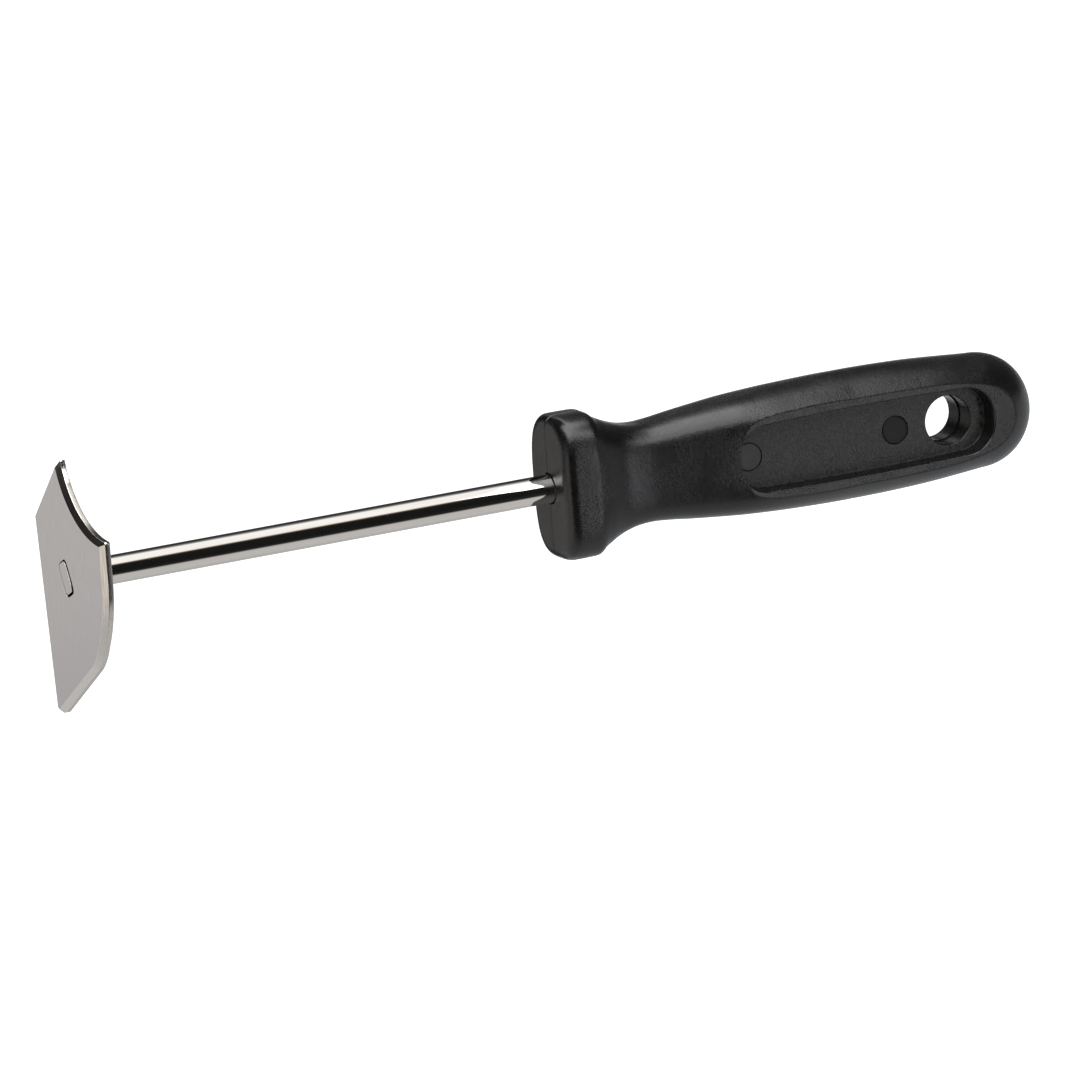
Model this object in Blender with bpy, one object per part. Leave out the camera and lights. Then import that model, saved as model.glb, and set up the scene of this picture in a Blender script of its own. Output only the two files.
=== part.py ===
"""Paint scraper: a bevelled steel blade riveted square across a plated rod, in a two-part moulded handle.

The frame: X runs along the rod, from the blade's front face at X = 0 to the handle's round end.
Z is up the blade's tall side and Y is across it. The rod's axis is the X axis. Lengths are metres.
"""

import math

import bmesh
import bpy
from mathutils import Vector

# Clearances, and how far a cutter runs past what it cuts
fit_gap = 0.0003
overrun = 0.0020

# Blade: a plate whose front edges are ground back, less so on its two far edges
blade_width = 0.0365
blade_height = 0.0638
blade_thickness = 0.0025
blade_bevel = 0.0012
blade_far_bevel = 0.0006
blade_corner_radius = 0.0007
blade_foot_radius = 0.0016
# Outline of the plate's back, as shares of its width (across) and of its height (up) from the rod's axis
far_corner_shares = (0.405, 0.205)
top_tip_shares = (0.006, 0.446)
hollow_middle_shares = (-0.238, 0.252)
near_corner_shares = (-0.582, 0.186)
bulge_start_shares = (-0.580, 0.080)
bulge_middle_shares = (-0.551, -0.098)
bulge_end_shares = (-0.452, -0.230)
turn_middle_shares = (-0.397, -0.282)
turn_end_shares = (-0.322, -0.326)
foot_shares = (0.295, -0.562)

# Rod, its tenon through the blade and its flattened tang inside the handle
rod_diameter = 0.0070
rod_reach = 0.1287
tenon_width = 0.0024
tenon_height = 0.0064
tenon_squareness = 5.0
tenon_turn = math.radians(-26)
rivet_spread = 0.0007
rivet_depth = 0.0011
tang_thickness = 0.0032
tang_width = 0.0124
tang_squareness = 3.5
tang_swage = 0.0060

# Handle outside
handle_length = 0.1279
flange_height = 0.0353
flange_edge_length = 0.0030
flange_edge_side = 0.0031
flange_edge_top = 0.0032
grip_breadth = 0.0284
grip_thickness = 0.0210
# Half height, half breadth and squareness of its section, each after the share of the length where it holds
side_shares = (
    (0.067, 0.998), (0.077, 0.987), (0.088, 0.923), (0.1025, 0.867), (0.118, 0.810), (0.138, 0.751),
    (0.162, 0.701), (0.192, 0.678), (0.229, 0.693), (0.268, 0.726), (0.315, 0.760), (0.363, 0.792),
    (0.418, 0.824), (0.489, 0.859), (0.611, 0.885), (0.749, 0.864), (0.890, 0.791),
)
plan_shares = (
    (0.067, 0.740), (0.095, 0.687), (0.126, 0.628), (0.158, 0.608), (0.192, 0.609), (0.252, 0.632),
    (0.315, 0.694), (0.340, 0.723), (0.360, 0.751), (0.402, 0.815), (0.443, 0.870), (0.485, 0.922),
    (0.527, 0.960), (0.611, 1.0),
)
square_shares = (
    (0.0, 3.2), (0.032, 3.45), (0.067, 3.3), (0.095, 3.05), (0.126, 2.95), (0.192, 3.3), (0.252, 3.4),
    (0.360, 3.4), (0.418, 2.95), (0.489, 2.4), (0.611, 2.0),
)
# Where the round end starts in the side view and from above, and how square each is
side_end_share = 0.890
side_end_squareness = 2.1
plan_end_share = 0.771
plan_end_squareness = 2.3
# Where the flat side's crease fades out, as a share of the half height
least_crease_share = 0.30

# Handle pockets, one on each side, with a web between their floors
pocket_start = 0.0465
pocket_end = 0.1143
pocket_height = 0.0171
pocket_end_height = 0.0162
pocket_corner_radius = 0.0071
pocket_draft = math.radians(3)
web_thickness = 0.0111

# What goes through the web: two joining pins and the hanging bore
pin_diameter = 0.0067
pin_chamfer = 0.0002
front_pin_place = 0.0508
rear_pin_place = 0.0901
bore_diameter = 0.0120
bore_step = 0.0003
bore_place = 0.1044

# Handle inside: walls, bosses and ribs of the two mouldings
wall_thickness = 0.0026
boss_wall = 0.0022
rib_thickness = 0.0018
rib_spacing = 0.0120
hollow_end_share = 0.967
entry_chamfer = 0.0005

ring_steps = 12
rod_sides = 40
pin_sides = 40
bore_sides = 56
handle_step = 0.0024


def material(name, colour, roughness, metallic=0.0):
    """A Principled finish for one piece."""
    finish = bpy.data.materials.new(name)
    finish.use_nodes = True
    shader = finish.node_tree.nodes["Principled BSDF"]
    shader.inputs["Base Color"].default_value = (*colour, 1.0)
    shader.inputs["Roughness"].default_value = roughness
    shader.inputs["Metallic"].default_value = metallic
    finish.diffuse_color = (*colour, 1.0)
    return finish


def piece(name, mesh_builder, finish):
    """A new object whose mesh comes from a finished bmesh, shaded smooth but for its sharp edges."""
    mesh = bpy.data.meshes.new(name)
    bmesh.ops.recalc_face_normals(mesh_builder, faces=mesh_builder.faces)
    mesh_builder.to_mesh(mesh)
    mesh_builder.free()
    if finish:
        mesh.materials.append(finish)
    mesh.shade_smooth()
    mesh.set_sharp_from_angle(angle=math.radians(30))
    result = bpy.data.objects.new(name, mesh)
    bpy.context.scene.collection.objects.link(result)
    return result


def cutter(name, mesh_builder):
    """A helper that is left out of the model."""
    result = piece(name, mesh_builder, None)
    result.hide_render = True
    result.display_type = "WIRE"
    return result


def cut(target, tool, operation="DIFFERENCE"):
    """Takes a cutter from a piece, or adds it."""
    step = target.modifiers.new(f"{operation.lower()} {tool.name}", "BOOLEAN")
    step.operation = operation
    step.object = tool


def between(table, share):
    """The value of a share table at a share of the length, on a smooth curve through its rows."""
    if share <= table[0][0]:
        return table[0][1]
    if share >= table[-1][0]:
        return table[-1][1]
    rows = [table[0], *table, table[-1]]
    i = next(i for i in range(1, len(rows) - 1) if share <= rows[i + 1][0])
    before, low, high, after = rows[i - 1 : i + 3]
    span = high[0] - low[0]
    low_slope = (high[1] - before[1]) / (high[0] - before[0]) * span
    high_slope = (after[1] - low[1]) / (after[0] - low[0]) * span
    t = (share - low[0]) / span
    return (
        (2 * t**3 - 3 * t**2 + 1) * low[1]
        + (t**3 - 2 * t**2 + t) * low_slope
        + (3 * t**2 - 2 * t**3) * high[1]
        + (t**3 - t**2) * high_slope
    )


def mixed(first, second, share):
    """The value a share of the way from the first to the second."""
    return first + (second - first) * share


def loft(rings, start_point=None, end_point=None, build=None):
    """A closed skin over rings of equally many points, capped with a flat face or a point at each end."""
    build = build or bmesh.new()
    loops = [[build.verts.new(point) for point in ring] for ring in rings]
    count = len(loops[0])
    for one, other in zip(loops, loops[1:]):
        for i in range(count):
            build.faces.new((one[i], one[(i + 1) % count], other[(i + 1) % count], other[i]))
    for loop, tip in ((loops[0], start_point), (loops[-1], end_point)):
        if tip is None:
            build.faces.new(loop)
            continue
        apex = build.verts.new(tip)
        for i in range(count):
            build.faces.new((loop[i], loop[(i + 1) % count], apex))
    return build


def cylinder(x, radius, reach, sides, chamfer=0.0):
    """A round body along Y at a place on the X axis, from -reach to reach."""
    inner = radius - chamfer
    levels = [(-reach, inner), (-reach + chamfer, radius), (reach - chamfer, radius), (reach, inner)]
    if not chamfer:
        levels = [levels[0], levels[-1]]
    turns = [math.tau * i / sides for i in range(sides)]
    return loft([[(x + r * math.cos(a), y, r * math.sin(a)) for a in turns] for y, r in levels])


def superellipse(angle, half_width, half_height, squareness):
    """The point of a round-cornered section at an angle from its width axis."""
    c, s = math.cos(angle), math.sin(angle)
    power = 2 / squareness
    return (
        half_width * math.copysign(abs(c) ** power, c),
        half_height * math.copysign(abs(s) ** power, s),
    )


def section_ring(x, half_width, half_height, squareness):
    """A round-cornered section across the X axis."""
    turns = [math.tau * i / rod_sides for i in range(rod_sides)]
    return [(x, *superellipse(turn, half_width, half_height, squareness)) for turn in turns]


# Blade

def arc_through(start, middle, end, steps):
    """Points on the circle through three points, from start up to but without end."""
    (ax, ay), (bx, by), (cx, cy) = start, middle, end
    twice = 2 * (ax * (by - cy) + bx * (cy - ay) + cx * (ay - by))
    aa, bb, cc = ax * ax + ay * ay, bx * bx + by * by, cx * cx + cy * cy
    ox = (aa * (by - cy) + bb * (cy - ay) + cc * (ay - by)) / twice
    oy = (aa * (cx - bx) + bb * (ax - cx) + cc * (bx - ax)) / twice
    radius = math.hypot(ax - ox, ay - oy)
    first = math.atan2(ay - oy, ax - ox)
    sweep = (math.atan2(cy - oy, cx - ox) - first + math.pi) % math.tau - math.pi
    angles = [first + sweep * i / steps for i in range(steps)]
    return [(ox + radius * math.cos(a), oy + radius * math.sin(a)) for a in angles]


def rounded_corner(before, corner, after, radius, steps):
    """Points that round a corner between two straight or nearly straight edges."""
    def toward(point):
        length = math.hypot(point[0] - corner[0], point[1] - corner[1])
        return ((point[0] - corner[0]) / length, (point[1] - corner[1]) / length)

    (ux, uy), (vx, vy) = toward(before), toward(after)
    half = math.acos(max(-1.0, min(1.0, ux * vx + uy * vy))) / 2
    setback = radius / math.tan(half)
    bisector = math.hypot(ux + vx, uy + vy)
    depth = radius / math.sin(half) - radius
    start = (corner[0] + ux * setback, corner[1] + uy * setback)
    end = (corner[0] + vx * setback, corner[1] + vy * setback)
    middle = (corner[0] + (ux + vx) / bisector * depth, corner[1] + (uy + vy) / bisector * depth)
    return arc_through(start, middle, end, steps) + [end]


def ground_back(outline, bevels):
    """The outline drawn in by each edge's own bevel. An edge that shrinks to nothing becomes a corner."""
    points = [Vector(point) for point in outline]
    count = len(points)
    area = sum(points[i - 1].cross(points[i]) for i in range(count))
    inward = math.copysign(1.0, area)
    along = [(points[(i + 1) % count] - points[i]).normalized() for i in range(count)]
    through = [points[i] + along[i].orthogonal() * inward * bevels[i] for i in range(count)]
    kept = [True] * count
    while True:
        ring = []
        for i in range(count):
            before = next(k % count for k in range(i - 1, i - 1 - count, -1) if kept[k % count])
            after = next(k % count for k in range(i, i + count) if kept[k % count])
            turn = along[before].cross(along[after])
            step = (through[after] - through[before]).cross(along[after]) / turn if turn else 0.0
            ring.append(through[before] + along[before] * step if turn else through[after])
        lost = [i for i in range(count) if kept[i] and (ring[(i + 1) % count] - ring[i]).dot(along[i]) <= 0]
        if not lost:
            return ring
        for i in lost:
            kept[i] = False


def blade_outline():
    """The plate's back as (Y, Z) points with the bevel of the edge after each.

    They run from the far corner over the top tip and down the near side.
    """
    def at(shares):
        return (shares[0] * blade_width, shares[1] * blade_height)

    far, tip, foot = at(far_corner_shares), at(top_tip_shares), at(foot_shares)
    near, turn_end = at(near_corner_shares), at(turn_end_shares)
    hollow = arc_through(tip, at(hollow_middle_shares), near, 18)
    bulge = arc_through(at(bulge_start_shares), at(bulge_middle_shares), at(bulge_end_shares), 10)
    turn = arc_through(at(bulge_end_shares), at(turn_middle_shares), turn_end, 6)
    far_side = rounded_corner(foot, far, tip, blade_corner_radius, 3)
    near_side = (
        hollow[:-1]
        + rounded_corner(hollow[-1], near, bulge[0], blade_corner_radius, 3)
        + bulge
        + turn
        + [turn_end]
    )
    foot_round = rounded_corner(turn_end, foot, far, blade_foot_radius, 6)
    last = len(foot_round) - 1
    narrowing = [mixed(blade_bevel, blade_far_bevel, i / last) for i in range(last + 1)]
    bevels = [blade_far_bevel] * len(far_side) + [blade_bevel] * len(near_side) + narrowing
    return far_side + near_side + foot_round, bevels


def tenon_ring(x, grow):
    """The tenon's section, turned about the rod's axis."""
    c, s = math.cos(tenon_turn), math.sin(tenon_turn)
    ring = section_ring(x, tenon_width / 2 + grow, tenon_height / 2 + grow, tenon_squareness)
    return [(x, y * c - z * s, y * s + z * c) for x, y, z in ring]


def tenon_rings(grow, start):
    """Tenon from the blade's face, where it is spread by the riveting, to the rod's shoulder."""
    return [
        tenon_ring(start, grow + rivet_spread),
        tenon_ring(rivet_depth, grow),
        tenon_ring(blade_thickness + fit_gap, grow),
    ]


def make_blade(finish):
    """Plate with its front edges ground back, and the slot that the tenon is riveted into."""
    outline, bevels = blade_outline()
    levels = ((blade_thickness, outline), (blade_bevel, outline), (0.0, ground_back(outline, bevels)))
    build = loft([[(x, y, z) for y, z in ring] for x, ring in levels])
    bmesh.ops.remove_doubles(build, verts=build.verts, dist=blade_corner_radius / len(outline))
    blade = piece("blade", build, finish)
    slot_rings = [tenon_ring(-overrun, fit_gap + rivet_spread)] + tenon_rings(fit_gap, 0.0)
    slot_rings[-1] = tenon_ring(blade_thickness + overrun, fit_gap)
    cut(blade, cutter("blade_slot_cutter", loft(slot_rings)))
    return blade


# Rod

def tang_rings(grow):
    """Round rod, swaged flat into a tang whose round eye goes over the front pin."""
    eye = rod_reach + front_pin_place
    radius, thin, wide = rod_diameter / 2, tang_thickness / 2, tang_width / 2
    flat_start = eye - wide
    swage_start = flat_start - tang_swage
    stations = [(0.0, swage_start), (0.5, mixed(swage_start, flat_start, 0.5)), (1.0, flat_start), (1.0, eye)]
    rings = []
    for flat, x in stations:
        half_width = mixed(radius, thin, flat) + grow
        half_height = mixed(radius, wide, flat) + grow
        rings.append(section_ring(x, half_width, half_height, mixed(2.0, tang_squareness, flat)))
    for degrees in (25, 45, 60, 72, 82):
        angle = math.radians(degrees)
        reach = wide + grow
        rings.append(
            section_ring(eye + reach * math.sin(angle), thin + grow, reach * math.cos(angle), tang_squareness)
        )
    return rings


def make_rod(finish, eye_cutter):
    """Rod with the riveted tenon at its front and the tang at its back, in one solid."""
    shoulder = section_ring(blade_thickness + fit_gap, rod_diameter / 2, rod_diameter / 2, 2.0)
    rod = piece("rod", loft(tenon_rings(0.0, 0.0) + [shoulder] + tang_rings(0.0)), finish)
    cut(rod, eye_cutter)
    return rod


def rod_clearance():
    """The rod's shape with a fit gap all round, flared where it enters the flange."""
    radius = rod_diameter / 2 + fit_gap
    flare = radius + entry_chamfer + overrun
    mouth = [
        section_ring(rod_reach - overrun, flare, flare, 2.0),
        section_ring(rod_reach + entry_chamfer, radius, radius, 2.0),
    ]
    return cutter("rod_clearance_cutter", loft(mouth + tang_rings(fit_gap)))


# Handle

def drawn_in(share, start_share, squareness):
    """What is left of a size towards the round end, as a share of it."""
    along = max(0.0, (share - start_share) / (1 - start_share))
    return max(0.0, 1 - along**squareness) ** (1 / squareness)


def handle_section(place):
    """Half height, half breadth and squareness of the handle, a distance behind the flange's face."""
    share = min(place / handle_length, 1.0)
    side_left = drawn_in(share, side_end_share, side_end_squareness)
    plan_left = drawn_in(share, plan_end_share, plan_end_squareness)
    half_height = flange_height / 2 * between(side_shares, share) * side_left
    half_breadth = grip_breadth / 2 * between(plan_shares, share) * plan_left
    to_face = max(0.0, 1 - place / flange_edge_length)
    rounding = 1 - math.sqrt(1 - to_face**2)
    return (
        half_height - flange_edge_top * rounding,
        half_breadth - flange_edge_side * rounding,
        between(square_shares, share),
    )


def handle_places():
    """Distances behind the flange's face at which the outside is drawn, closer together where it turns."""
    end_start = side_end_share * handle_length
    turn_start, turn_end = side_shares[0][0] * handle_length, side_shares[8][0] * handle_length
    edge = [flange_edge_length * (1 - math.cos(math.radians(a))) for a in range(0, 90, 18)]
    turn = [mixed(turn_start, turn_end, i / 16) for i in range(16)]
    count = math.ceil((end_start - turn_end) / handle_step)
    middle = [mixed(turn_end, end_start, i / count) for i in range(count)]
    end = [mixed(end_start, handle_length, math.sin(math.radians(a))) for a in range(0, 90, 6)]
    return edge + [flange_edge_length] + turn + middle + end


def half_ring(place, wall, seam):
    """One side of a handle section as (out, up) points, from its top over the flat side to its bottom.

    The crease between the round outside and the ground-flat side falls on a point of the ring.
    """
    half_height, half_breadth, squareness = handle_section(place)
    half_height, half_breadth = half_height - wall, half_breadth - wall
    flat = grip_thickness / 2 - wall
    crease_share = least_crease_share
    if half_breadth > flat:
        crease_share = max(crease_share, (1 - (flat / half_breadth) ** squareness) ** (1 / squareness))
    first = math.asin(crease_share ** (squareness / 2))
    rounded = [mixed(math.pi / 2, first, i / ring_steps) for i in range(ring_steps + 1)]
    upper = []
    for angle in rounded:
        out, up = superellipse(angle, half_breadth, half_height, squareness)
        upper.append((min(out, flat), up))
    flat_steps = ring_steps // 3
    for i in range(1, flat_steps + 1):
        up = crease_share * half_height * (1 - i / flat_steps)
        out = half_breadth * (1 - (up / half_height) ** squareness) ** (1 / squareness)
        upper.append((min(out, flat), up))
    ring = upper + [(out, -up) for out, up in reversed(upper[:-1])]
    widest = max(out for out, up in ring)
    return [(seam + max(0.0, out) * (widest - seam) / widest, up) for out, up in ring]


def handle_half(name, side, finish):
    """One moulding's outside, from the seam plane to its own side."""
    seam = fit_gap / 2
    rings = []
    for place in handle_places():
        rings.append([(rod_reach + place, side * out, up) for out, up in half_ring(place, 0.0, seam)])
    return piece(name, loft(rings, end_point=(rod_reach + handle_length, side * seam, 0.0)), finish)


def hollow_cutter(pockets):
    """The bays inside the grip, one wall in from the outside and from the pockets, with ribs between them."""
    first = pocket_start + wall_thickness
    last = hollow_end_share * handle_length
    count = max(1, round((last - first) / rib_spacing))
    build = bmesh.new()
    for bay in range(count):
        low = mixed(first, last, bay / count) + rib_thickness / 2
        high = mixed(first, last, (bay + 1) / count) - rib_thickness / 2
        steps = max(2, math.ceil((high - low) / handle_step))
        rings = []
        for i in range(steps + 1):
            place = mixed(low, high, i / steps)
            one = half_ring(place, wall_thickness, 0.0)
            other = [(-out, up) for out, up in reversed(one[1:-1])]
            rings.append([(rod_reach + place, out, up) for out, up in one + other])
        loft(rings, build=build)
    hollow = cutter("handle_hollow_cutter", build)
    for pocket in pockets:
        cut(hollow, pocket)
    reach = grip_thickness / 2 + overrun
    for name, place, radius in (
        ("front_pin", front_pin_place, pin_diameter / 2),
        ("rear_pin", rear_pin_place, pin_diameter / 2),
        ("bore", bore_place, bore_diameter / 2),
    ):
        boss = cylinder(rod_reach + place, radius + fit_gap + boss_wall, reach, pin_sides)
        cut(hollow, cutter(f"{name}_boss_cutter", boss))
    return hollow


def pocket_outline(inset):
    """The pocket's outline as (place, up) points, with slightly bowed long sides and round ends."""
    start, end = pocket_start + inset, pocket_end - inset
    radius = pocket_corner_radius - inset
    bow = (pocket_height - pocket_end_height) / 2
    end_half = pocket_end_height / 2 - inset

    def side(share):
        return end_half + bow * (1 - (2 * share - 1) ** 2)

    corner_angles = [math.radians(a) for a in range(0, 90, 10)]
    run = [mixed(start + radius, end - radius, i / 12) for i in range(13)]
    top = [(x, side(i / 12)) for i, x in enumerate(run)]
    centre = end_half - radius
    turns = [(radius * math.sin(a), centre + radius * math.cos(a)) for a in corner_angles[1:]]
    turns.append((radius, centre))
    right = [(end - radius + along, up) for along, up in turns]
    left = [(start + radius - along, up) for along, up in turns]
    upper = list(reversed(left)) + top + right
    return upper + [(x, -up) for x, up in reversed(upper)]


def pocket_cutter(name, side, grow):
    """One side's pocket, wider towards its mouth. Grown by a wall, it keeps the hollow off the pocket."""
    floor = web_thickness / 2 - grow
    rim = grip_thickness / 2
    lean = math.tan(pocket_draft)
    levels = [(floor, (rim - floor) * lean - grow), (rim + overrun, -overrun * lean - grow)]
    outlines = [(out, pocket_outline(inset)) for out, inset in levels]
    return cutter(name, loft([[(rod_reach + x, side * out, up) for x, up in ring] for out, ring in outlines]))


def make_pin(name, place, finish):
    """A plain pin, flush with both pocket floors."""
    body = cylinder(rod_reach + place, pin_diameter / 2, web_thickness / 2, pin_sides, pin_chamfer)
    return piece(name, body, finish)


def make_handle(finish, clearance, pin_holes):
    """The two mouldings, which meet on the plane Y = 0."""
    sides = (("near", -1), ("far", 1))
    grown = [pocket_cutter(f"{name}_pocket_wall_cutter", side, wall_thickness) for name, side in sides]
    hollow = hollow_cutter(grown)
    for name, side in sides:
        half = handle_half(f"handle_half_{name}", side, finish)
        cut(half, pocket_cutter(f"{name}_pocket_cutter", side, 0.0))
        cut(half, hollow)
        cut(half, clearance)
        for hole in pin_holes:
            cut(half, hole)
        radius = bore_diameter / 2 - (bore_step if side > 0 else 0.0)
        bore = cylinder(rod_reach + bore_place, radius, grip_thickness / 2 + overrun, bore_sides)
        cut(half, cutter(f"{name}_bore_cutter", bore))


def clear_scene():
    """Removes what Blender starts with."""
    for old in list(bpy.data.objects):
        bpy.data.objects.remove(old)


def main():
    clear_scene()
    blade_steel = material("blade_steel", (0.60, 0.59, 0.58), 0.22, 1.0)
    plated_steel = material("plated_steel", (0.72, 0.68, 0.62), 0.08, 1.0)
    handle_plastic = material("handle_plastic", (0.012, 0.012, 0.013), 0.42)
    pin_plastic = material("pin_plastic", (0.016, 0.016, 0.017), 0.48)

    hole_reach = grip_thickness / 2 + overrun
    hole_radius = pin_diameter / 2 + fit_gap
    pin_holes = []
    for name, place in (("front", front_pin_place), ("rear", rear_pin_place)):
        hole = cylinder(rod_reach + place, hole_radius, hole_reach, pin_sides)
        pin_holes.append(cutter(f"{name}_pin_hole_cutter", hole))
    make_blade(blade_steel)
    make_rod(plated_steel, pin_holes[0])
    make_handle(handle_plastic, rod_clearance(), pin_holes)
    make_pin("front_joining_pin", front_pin_place, pin_plastic)
    make_pin("rear_joining_pin", rear_pin_place, pin_plastic)


main()
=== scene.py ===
"""The finished look of a long-shanked paint scraper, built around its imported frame.

X runs along the rod, from the blade's front face at X = 0 to the handle's round end. Z is up the
blade's tall side and Y is across it, away from the camera. The rod's axis is the X axis. Lengths are
metres, and a share is a part of the length that its comment or name gives.
"""

import logging
import math
from dataclasses import dataclass, field, replace
from enum import Enum
from typing import Any, Optional, Sequence

import bmesh
import bpy
from mathutils import Matrix, Vector


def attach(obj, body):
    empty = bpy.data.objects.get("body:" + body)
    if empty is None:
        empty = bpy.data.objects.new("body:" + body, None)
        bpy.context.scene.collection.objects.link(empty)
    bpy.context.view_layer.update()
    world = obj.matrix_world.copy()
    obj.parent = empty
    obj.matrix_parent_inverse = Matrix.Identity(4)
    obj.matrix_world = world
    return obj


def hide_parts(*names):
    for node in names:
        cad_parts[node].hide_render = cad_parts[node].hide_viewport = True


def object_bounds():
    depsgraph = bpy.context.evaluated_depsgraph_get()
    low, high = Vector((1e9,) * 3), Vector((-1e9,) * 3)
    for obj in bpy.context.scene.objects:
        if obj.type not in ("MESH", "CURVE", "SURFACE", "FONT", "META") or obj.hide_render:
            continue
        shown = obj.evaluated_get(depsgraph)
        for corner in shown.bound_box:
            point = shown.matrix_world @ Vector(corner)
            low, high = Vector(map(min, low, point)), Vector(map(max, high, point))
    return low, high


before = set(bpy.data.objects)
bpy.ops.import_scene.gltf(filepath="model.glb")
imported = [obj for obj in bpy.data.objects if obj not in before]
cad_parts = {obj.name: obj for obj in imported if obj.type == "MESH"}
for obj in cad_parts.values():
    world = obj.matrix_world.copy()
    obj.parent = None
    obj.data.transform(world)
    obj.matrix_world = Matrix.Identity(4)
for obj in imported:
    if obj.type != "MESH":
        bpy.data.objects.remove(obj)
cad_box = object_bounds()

log = logging.getLogger("paint_scraper")

Colour = tuple[float, float, float]
Point2 = tuple[float, float]
Point3 = tuple[float, float, float]
Table = tuple[Point2, ...]
Ring = list[Vector]
Mesh = bmesh.types.BMesh
Piece = bpy.types.Object
Material = bpy.types.Material
Node = bpy.types.Node
Socket = bpy.types.NodeSocket
Input = Any

BODY = "root"
ROUND = 2.0  # the squareness of a round section
EVEN: Colour = (1.0, 1.0, 1.0)  # white as a colour, and no stretch as a scale
MIDDLE_TONES = (0.3, 0.7)  # the range that most of a noise's values lie in


class Slot(Enum):
    """The record's material slots."""

    BLADE = "blade_steel"
    ROD = "plated_steel"
    HANDLE = "handle_plastic"
    PIN = "pin_plastic"


class Side(Enum):
    """Which side of the tool a moulding is on, as the sign of its Y."""

    NEAR = -1
    FAR = 1


# Small sums


def mixed(first: float, second: float, share: float) -> float:
    """The value a share of the way from the first to the second."""
    return first + (second - first) * share


def evenly(first: float, second: float, steps: int) -> list[float]:
    """Values at even steps from the first to the second, both included."""
    return [mixed(first, second, i / steps) for i in range(steps + 1)]


def quarter_turn(steps: int, first: float = 0.0) -> list[float]:
    """Angles at even steps up to a right angle."""
    return evenly(first, math.pi / 2, steps)


def whole_turn(sides: int) -> list[float]:
    """Angles at even steps all the way round."""
    return [math.tau * i / sides for i in range(sides)]


def set_back(radius: float, angle: float) -> Point2:
    """How far a rounded edge stands back from its two faces, at an angle round it."""
    return radius * (1 - math.cos(angle)), radius * (1 - math.sin(angle))


def at_share(table: Table, share: float) -> float:
    """A share table's value, on a smooth curve through its rows.

    Args:
        table: Rows of (share of the length, value), in rising order.
        share: Where to read it.

    Returns:
        The value there. Before the first row and after the last one it stays level.
    """
    if share <= table[0][0]:
        return table[0][1]
    if share >= table[-1][0]:
        return table[-1][1]
    rows = [table[0], *table, table[-1]]
    i = next(i for i in range(1, len(rows) - 1) if share <= rows[i + 1][0])
    before, low, high, after = rows[i - 1 : i + 3]
    span = high[0] - low[0]
    low_slope = (high[1] - before[1]) / (high[0] - before[0]) * span
    high_slope = (after[1] - low[1]) / (after[0] - low[0]) * span
    t = (share - low[0]) / span
    low_part = (2 * t**3 - 3 * t**2 + 1) * low[1] + (t**3 - 2 * t**2 + t) * low_slope
    return low_part + (3 * t**2 - 2 * t**3) * high[1] + (t**3 - t**2) * high_slope


def superellipse(angle: float, half_width: float, half_height: float, squareness: float) -> Point2:
    """The point of a round-cornered section at an angle from its width axis."""
    c, s, power = math.cos(angle), math.sin(angle), 2 / squareness
    return half_width * math.copysign(abs(c) ** power, c), half_height * math.copysign(abs(s) ** power, s)


def arc_through(start: Point2, middle: Point2, end: Point2, steps: int) -> list[Point2]:
    """Points on the circle through three points.

    Args:
        start: The first point.
        middle: A point between them.
        end: The last point, which is left out.
        steps: How many points are made.

    Returns:
        The points, from start up to but without end.
    """
    (ax, ay), (bx, by), (cx, cy) = start, middle, end
    twice = 2 * (ax * (by - cy) + bx * (cy - ay) + cx * (ay - by))
    aa, bb, cc = ax * ax + ay * ay, bx * bx + by * by, cx * cx + cy * cy
    ox = (aa * (by - cy) + bb * (cy - ay) + cc * (ay - by)) / twice
    oy = (aa * (cx - bx) + bb * (ax - cx) + cc * (bx - ax)) / twice
    radius = math.hypot(ax - ox, ay - oy)
    first = math.atan2(ay - oy, ax - ox)
    sweep = (math.atan2(cy - oy, cx - ox) - first + math.pi) % math.tau - math.pi
    angles = [first + sweep * i / steps for i in range(steps)]
    return [(ox + radius * math.cos(a), oy + radius * math.sin(a)) for a in angles]


def rounded_corner(before: Point2, corner: Point2, after: Point2, radius: float, steps: int) -> list[Point2]:
    """Points that round a corner between two straight or nearly straight edges.

    Args:
        before: A point on the edge that comes in.
        corner: The sharp corner.
        after: A point on the edge that goes out.
        radius: The corner's radius.
        steps: How many stretches the arc has.

    Returns:
        The arc's points, both ends included.
    """
    sharp = Vector(corner)
    back, on = (Vector(before) - sharp).normalized(), (Vector(after) - sharp).normalized()
    half = back.angle(on) / 2
    setback = radius / math.tan(half)
    middle = sharp + (back + on).normalized() * (radius / math.sin(half) - radius)
    start, end = tuple(sharp + back * setback), tuple(sharp + on * setback)
    return arc_through(start, tuple(middle), end, steps) + [end]


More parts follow.
